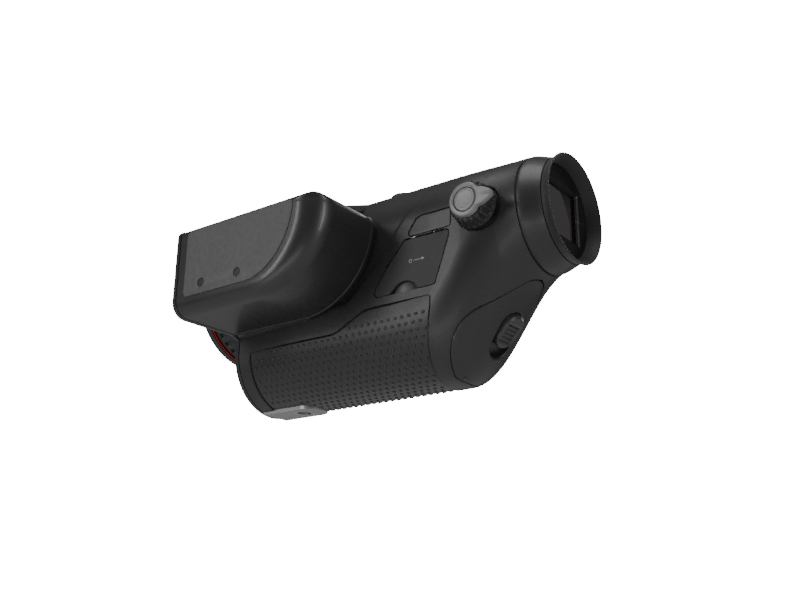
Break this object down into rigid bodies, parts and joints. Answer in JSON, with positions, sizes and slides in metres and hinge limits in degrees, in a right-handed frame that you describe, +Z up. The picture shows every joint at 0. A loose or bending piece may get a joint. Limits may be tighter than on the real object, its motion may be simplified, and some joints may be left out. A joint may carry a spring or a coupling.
{
  "type": "handheld thermal imaging monocular",
  "caption": "Handheld thermal imaging monocular with focus ring, side pod, control knob, port cover, hinged battery cover with latch, top keys and a tripod thread.",
  "frame": {"origin": "mouth of the tripod thread, in the flat tripod plate under the grip", "axes": "+Z up, the objective looks along -Y and the eyepiece faces +Y, +X is the user's left, the side with the pod, the port cover and the knob"},
  "size_m": [0.1004, 0.1827, 0.0929],
  "materials": {
    "body_plastic": "fine spark-eroded texture, satin",
    "pod_plastic": "satin with a soft sheen on the rounded edges",
    "nameplate": "flat grey paint",
    "grip_rubber": "matt, rows of raised dots",
    "soft_rubber": "matt",
    "ring_rubber": "satin, fluted",
    "red_anodised": "red anodised, satin",
    "black_metal": "black anodised",
    "grey_metal": "dark grey, satin",
    "steel": "machined",
    "brass": "turned",
    "gold_contact": "plated",
    "germanium": "coated, mirror-smooth",
    "dark_glass": "polished, faint red reflection",
    "eye_glass": "coated",
    "knob_grey": "satin",
    "key_plastic": "satin",
    "board_green": "solder mask",
    "core_metal": "bead blasted",
    "inner_plastic": "moulded",
    "battery_wrap": "shrink wrap"
  },
  "bodies": {
    "housing": {"main_housing": "body_plastic", "head_shell": "pod_plastic", "front_bezel": "pod_plastic", "pod_nameplate": "nameplate", "pod_side_screws": "black_metal", "pod_camera_window": "dark_glass", "pod_laser_window": "dark_glass", "pod_camera_module": "inner_plastic", "pod_laser_module": "brass", "bezel_screws": "black_metal", "grip_pad": "grip_rubber", "tripod_plate": "grey_metal", "tripod_insert": "steel", "objective_barrel": "grey_metal", "objective_lens": "germanium", "rear_lens": "germanium", "lens_seal": "soft_rubber", "thermal_core": "core_metal", "shutter_unit": "black_metal", "lens_retainer": "black_metal", "eyepiece_housing": "body_plastic", "eyecup": "soft_rubber", "eyepiece_plate": "inner_plastic", "eyepiece_window": "dark_glass", "eye_lens_rear": "eye_glass", "eye_lens_front": "eye_glass", "lens_cell": "black_metal", "microdisplay": "board_green", "eyepiece_seal": "soft_rubber", "main_board": "board_green", "interface_board": "board_green", "usb_socket": "steel", "video_socket": "inner_plastic", "battery": "battery_wrap", "battery_contacts": "gold_contact", "battery_cradle": "inner_plastic", "port_panel": "body_plastic", "port_hinge_pin": "steel", "door_hinge_pin": "steel", "key_frame": "board_green", "knob_bush": "brass", "knob_encoder": "inner_plastic"},
    "focus": {"focus_ring": "ring_rubber", "red_ring": "red_anodised"},
    "knob": {"knob_skirt": "key_plastic", "knob_face": "knob_grey", "button_dome": "soft_rubber"},
    "knob_push": {"knob_button": "key_plastic"},
    "port_cover": {"port_door": "body_plastic"},
    "battery_cover": {"battery_door": "body_plastic", "latch_spring": "steel"},
    "latch": {"latch_slider": "key_plastic"},
    "power_button": {"power_key": "key_plastic"},
    "menu_button": {"menu_key": "key_plastic"},
    "up_button": {"up_key": "key_plastic"},
    "down_button": {"down_key": "key_plastic"}
  },
  "joints": [
    {"name": "focus_turn", "type": "hinge", "parent": "housing", "child": "focus", "pos_m": [0, -0.03, 0.0584], "axis": [0, 1, 0], "range_deg": [-60, 60]},
    {"name": "knob_turn", "type": "hinge", "parent": "housing", "child": "knob", "pos_m": [0.03, 0.1105, 0.064], "axis": [1, 0, 0], "range_deg": [-135, 135]},
    {"name": "knob_press", "type": "slide", "parent": "knob", "child": "knob_push", "axis": [-1, 0, 0], "range_m": [0, 0.0007], "stiffness_N_per_m": 1500},
    {"name": "port_cover_hinge", "type": "hinge", "parent": "housing", "child": "port_cover", "pos_m": [0.0261, 0.0875, 0.05865], "axis": [0, -1, 0], "range_deg": [0, 80]},
    {"name": "battery_cover_hinge", "type": "hinge", "parent": "housing", "child": "battery_cover", "pos_m": [0, 0.086, 0.0033], "axis": [-1, 0, 0], "range_deg": [0, 95]},
    {"name": "latch_slide", "type": "slide", "parent": "battery_cover", "child": "latch", "axis": [0, -0.6691, -0.7431], "range_m": [0, 0.004]},
    {"name": "power_press", "type": "slide", "parent": "housing", "child": "power_button", "axis": [0, 0, -1], "range_m": [0, 0.0008], "stiffness_N_per_m": 1200},
    {"name": "menu_press", "type": "slide", "parent": "housing", "child": "menu_button", "axis": [0, 0, -1], "range_m": [0, 0.0008], "stiffness_N_per_m": 1200},
    {"name": "up_press", "type": "slide", "parent": "housing", "child": "up_button", "axis": [0, 0, -1], "range_m": [0, 0.0008], "stiffness_N_per_m": 1200},
    {"name": "down_press", "type": "slide", "parent": "housing", "child": "down_button", "axis": [0, 0, -1], "range_m": [0, 0.0008], "stiffness_N_per_m": 1200}
  ]
}
